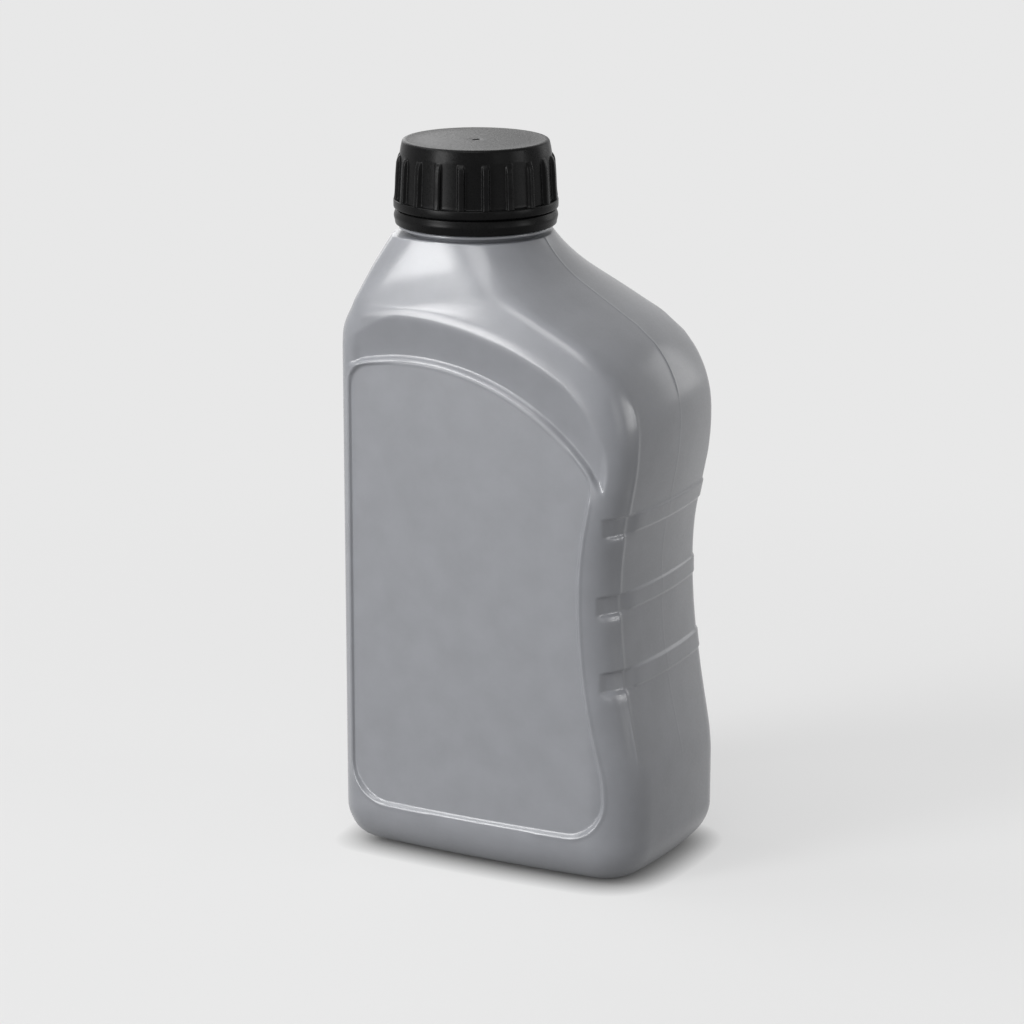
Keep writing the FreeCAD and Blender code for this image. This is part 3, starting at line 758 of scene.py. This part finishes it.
capShape = {
    "foot": 198.6, "top": 219.0, "underside": 217.25, "inside": 21.6, "flange": 24.95, "flangeTop": 201.2,
    # ribs: how many, half their width and the width of their walls, the height where they end, and
    # the radius inside which there are none
    "ribs": 20, "ribHalf": 0.72, "ribWall": 0.62, "ribTop": 215.0, "ribInside": 22.0,
    # columns across half a rib and the skirt beside it, in millimetres at the skirt's radius, close
    # together at the rib's wall
    "columns": [0.5, 0.8, 0.98, 1.15, 1.34, 1.6, 2.2, 3.0], "columnRadius": 24.0,
    # rows up the skirt as (end, step), and the radius of the skirt and of the rib crests by height
    "sideRows": [(203.0, 0.6), (211.5, 1.2), (215.4, 0.25), (218.0, 0.6)],
    "skirt": [(201.2, 23.68), (202.0, 23.6), (208.0, 23.26), (215.2, 22.9), (217.0, 22.6), (218.2, 22.32)],
    "crest": [
        (201.2, 24.93), (203.4, 24.64), (208.8, 24.4), (212.5, 24.1), (213.5, 23.8), (214.2, 23.4),
        (214.9, 22.8)],
    # radii of the rings across the underside and the top, and of the gate mark
    "undersideRings": (4, 9, 14, 18.5), "topRings": (16.0, 11.0, 7.0, 4.0, 2.2), "gate": 1.1,
    "threadStep": 0.3,
}


def capProfile(shape):
    # from the middle of the underside out, down the bore, round the flange, up the skirt and in over
    # the top to the gate mark
    foot, top, under, inside = shape["foot"], shape["top"], shape["underside"], shape["inside"]
    flange, flangeTop, gate = shape["flange"], shape["flangeTop"], shape["gate"]
    profile = [(r, under) for r in shape["undersideRings"]]
    profile += [(inside - 0.5, under), (inside - 0.1, under - 0.15)]
    profile += upright(inside, under - 0.6, foot + 0.7, shape["threadStep"])
    profile += [
        (inside + 0.15, foot + 0.25), (inside + 0.45, foot), (flange - 0.25, foot),
        (flange - 0.05, foot + 0.12), (flange, foot + 0.4), (flange, flangeTop - 0.5),
        (flange - 0.07, flangeTop - 0.2), (flange - 0.25, flangeTop - 0.04), (flange - 0.5, flangeTop),
        (flange - 0.85, flangeTop + 0.02), (flange - 1.15, flangeTop + 0.1)]
    side = spaced(flangeTop + 0.4, *shape["sideRows"])
    profile += list(zip(byHeight(shape["skirt"], side), side))
    edge = profile[-1][0]
    profile += [
        (edge - 0.05, top - 0.72), (edge - 0.16, top - 0.45), (edge - 0.36, top - 0.2),
        (edge - 0.65, top - 0.05), (edge - 1.0, top), (edge - 1.5, top - 0.02), (edge - 2.3, top - 0.1)]
    profile += [(r, top - 0.12) for r in shape["topRings"]]
    return profile + [
        (gate + 0.35, top - 0.16), (gate + 0.1, top - 0.2), (gate, top - 0.08),
        (gate * 0.8, top + 0.02), (gate * 0.4, top)]


def makeCap(shape, thread):
    half = np.array(shape["columns"])
    across = np.concatenate([-half[::-1], [0], half]) / shape["columnRadius"]
    pitch = 2 * math.pi / shape["ribs"]
    angles = (np.arange(shape["ribs"])[:, None] * pitch + across).reshape(1, -1)
    fromRib = np.abs(np.tile(across, shape["ribs"]))[None, :] * shape["columnRadius"]
    radius, height, placed = turnedRings(capProfile(shape), angles)
    onSide = (height > shape["flangeTop"]) & (height < shape["ribTop"]) & (radius > shape["ribInside"])
    proud = np.maximum(byHeight(shape["crest"], height) - radius, 0)
    proud = proud * (1 - rising(fromRib, shape["ribHalf"], shape["ribWall"]))
    radius = radius + np.where(onSide, proud, 0)
    inBore = np.abs(radius - shape["inside"]) < 0.01
    radius = radius - threadRise(height, angles, thread, thread["capLift"]) * inBore
    return ringMesh("capShell", placed(radius), capFirst=True, capLast=True)


bandShape = {
    "steps": 144, "foot": 193.65, "top": 198.1, "webTop": 198.58, "widest": 24.85, "wall": 1.6, "lip": 21.3,
}


def makeBand(shape):
    # The tamper ring, with a lip inside its foot that holds it under the bead, and the thin web by
    # which it hangs from the cap, set back in the gap between them.
    foot, top, web, wide, lip = [shape[key] for key in ("foot", "top", "webTop", "widest", "lip")]
    inner = wide - shape["wall"]
    profile = [
        (inner + 0.35, web), (inner, web - 0.1), (inner, foot + 2.4), (inner - 0.3, foot + 2.05),
        (lip + 0.1, foot + 1.75), (lip, foot + 1.6), (lip + 0.05, foot + 1.45), (lip + 0.5, foot + 0.1),
        (lip + 0.75, foot), (wide - 0.75, foot), (wide - 0.5, foot + 0.06), (wide - 0.4, foot + 0.25),
        (wide - 0.33, foot + 0.9), (wide - 0.16, foot + 1.6), (wide - 0.04, foot + 2.1),
        (wide, foot + 2.45), (wide - 0.05, foot + 2.8), (wide - 0.22, foot + 3.4),
        (wide - 0.42, foot + 3.95), (wide - 0.52, foot + 4.25), (wide - 0.65, top - 0.05),
        (wide - 0.85, top), (inner + 0.6, top), (inner + 0.5, top + 0.08), (inner + 0.5, web)]
    radius, _, placed = turnedRings(profile, allRound(shape["steps"]))
    return ringMesh("tamperRing", placed(radius), closedLoop=True)


neckFinish = makeNeck(neckShape, threadShape)
capShell = makeCap(capShape, threadShape)
tamperRing = makeBand(bandShape)
for piece, body, slotName, node in (
        (neckFinish, "flask", "bottle_plastic", None), (capShell, "closure", "cap_plastic", "cap"),
        (tamperRing, "flask", "cap_plastic", "tamper_band")):
    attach(piece, body)
    if node:
        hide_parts(node)
print("neck, cap and tamper ring made")

finishSettings = {
    # colour, roughness, how strongly it reflects, and its unevenness: blotch and grain sizes in
    # millimetres, how much the colour and roughness wander, and the depth of the grain
    "bottlePlastic": {
        "colour": (0.168, 0.1735, 0.188), "roughness": 0.5, "index": 1.45, "coat": 0.8, "coatRoughness": 0.22,
        "blotch": 9.0, "wander": 0.05, "roughWander": 0.05, "grain": 0.7, "grainDepth": 0.012},
    "capPlastic": {
        "colour": (0.0032, 0.0032, 0.0033), "roughness": 0.3, "index": 1.17, "blotch": 1.6, "wander": 0.2,
        "roughWander": 0.08, "grain": 0.5, "grainDepth": 0.006},
    "linerFoam": {
        "colour": (0.82, 0.82, 0.8), "roughness": 0.8, "index": 1.4, "blotch": 3.0, "wander": 0.04,
        "roughWander": 0.05, "grain": 0.4, "grainDepth": 0.03},
    "foil": {
        "colour": (0.8, 0.8, 0.81), "roughness": 0.25, "index": 1.5, "metallic": 1.0, "blotch": 4.0,
        "wander": 0.06, "roughWander": 0.12, "grain": 1.2, "grainDepth": 0.03},
    "fluid": {
        "colour": (0.8, 0.6, 0.22), "roughness": 0.1, "index": 1.45, "blotch": 20.0, "wander": 0.03,
        "roughWander": 0.02, "grain": 5.0, "grainDepth": 0.002},
}
noiseDetail = 4.0
noiseSpan = (0.3, 0.7)       # between which nearly all of a noise lies


def noiseNode(tree, place, size):
    noise = tree.nodes.new('ShaderNodeTexNoise')
    noise.inputs["Scale"].default_value = 1000.0 / size
    noise.inputs["Detail"].default_value = noiseDetail
    tree.links.new(place.outputs["Object"], noise.inputs["Vector"])
    return noise


def scaledNode(tree, source, low, high):
    span = tree.nodes.new('ShaderNodeMapRange')
    for name, value in zip(("From Min", "From Max", "To Min", "To Max"), (*noiseSpan, low, high)):
        span.inputs[name].default_value = value
    tree.links.new(source, span.inputs["Value"])
    return span


def mouldedMaterial(name):
    values = finishSettings[name]
    material = bpy.data.materials.new(name)
    material.use_nodes = True
    tree = material.node_tree
    shader = tree.nodes["Principled BSDF"]
    shader.inputs["Metallic"].default_value = values.get("metallic", 0.0)
    shader.inputs["IOR"].default_value = values["index"]
    shader.inputs["Coat Weight"].default_value = values.get("coat", 0.0)
    shader.inputs["Coat Roughness"].default_value = values.get("coatRoughness", 0.2)
    place = tree.nodes.new('ShaderNodeTexCoord')
    blotch = noiseNode(tree, place, values["blotch"])
    tone = scaledNode(tree, blotch.outputs["Fac"], 1 - values["wander"], 1 + values["wander"])
    tint = tree.nodes.new('ShaderNodeVectorMath')
    tint.operation = 'SCALE'
    tint.inputs[0].default_value = values["colour"]
    tree.links.new(tone.outputs["Result"], tint.inputs["Scale"])
    tree.links.new(tint.outputs["Vector"], shader.inputs["Base Color"])
    grain = noiseNode(tree, place, values["grain"])
    spread = values["roughWander"]
    rough = scaledNode(tree, grain.outputs["Fac"], values["roughness"] - spread, values["roughness"] + spread)
    tree.links.new(rough.outputs["Result"], shader.inputs["Roughness"])
    bump = tree.nodes.new('ShaderNodeBump')
    bump.inputs["Strength"].default_value = 1.0
    bump.inputs["Distance"].default_value = values["grainDepth"] * 0.001
    tree.links.new(grain.outputs["Fac"], bump.inputs["Height"])
    tree.links.new(bump.outputs["Normal"], shader.inputs["Normal"])
    return material


finishes = {name: mouldedMaterial(name) for name in finishSettings}
for piece, finish in (
        (flaskShell, "bottlePlastic"), (neckFinish, "bottlePlastic"), (capShell, "capPlastic"),
        (tamperRing, "capPlastic"), (cadNodes["cap_liner"], "linerFoam"), (cadNodes["foil_seal"], "foil"),
        (cadNodes["brake_fluid"], "fluid")):
    piece.data.materials.clear()
    piece.data.materials.append(finishes[finish])
print("materials made")
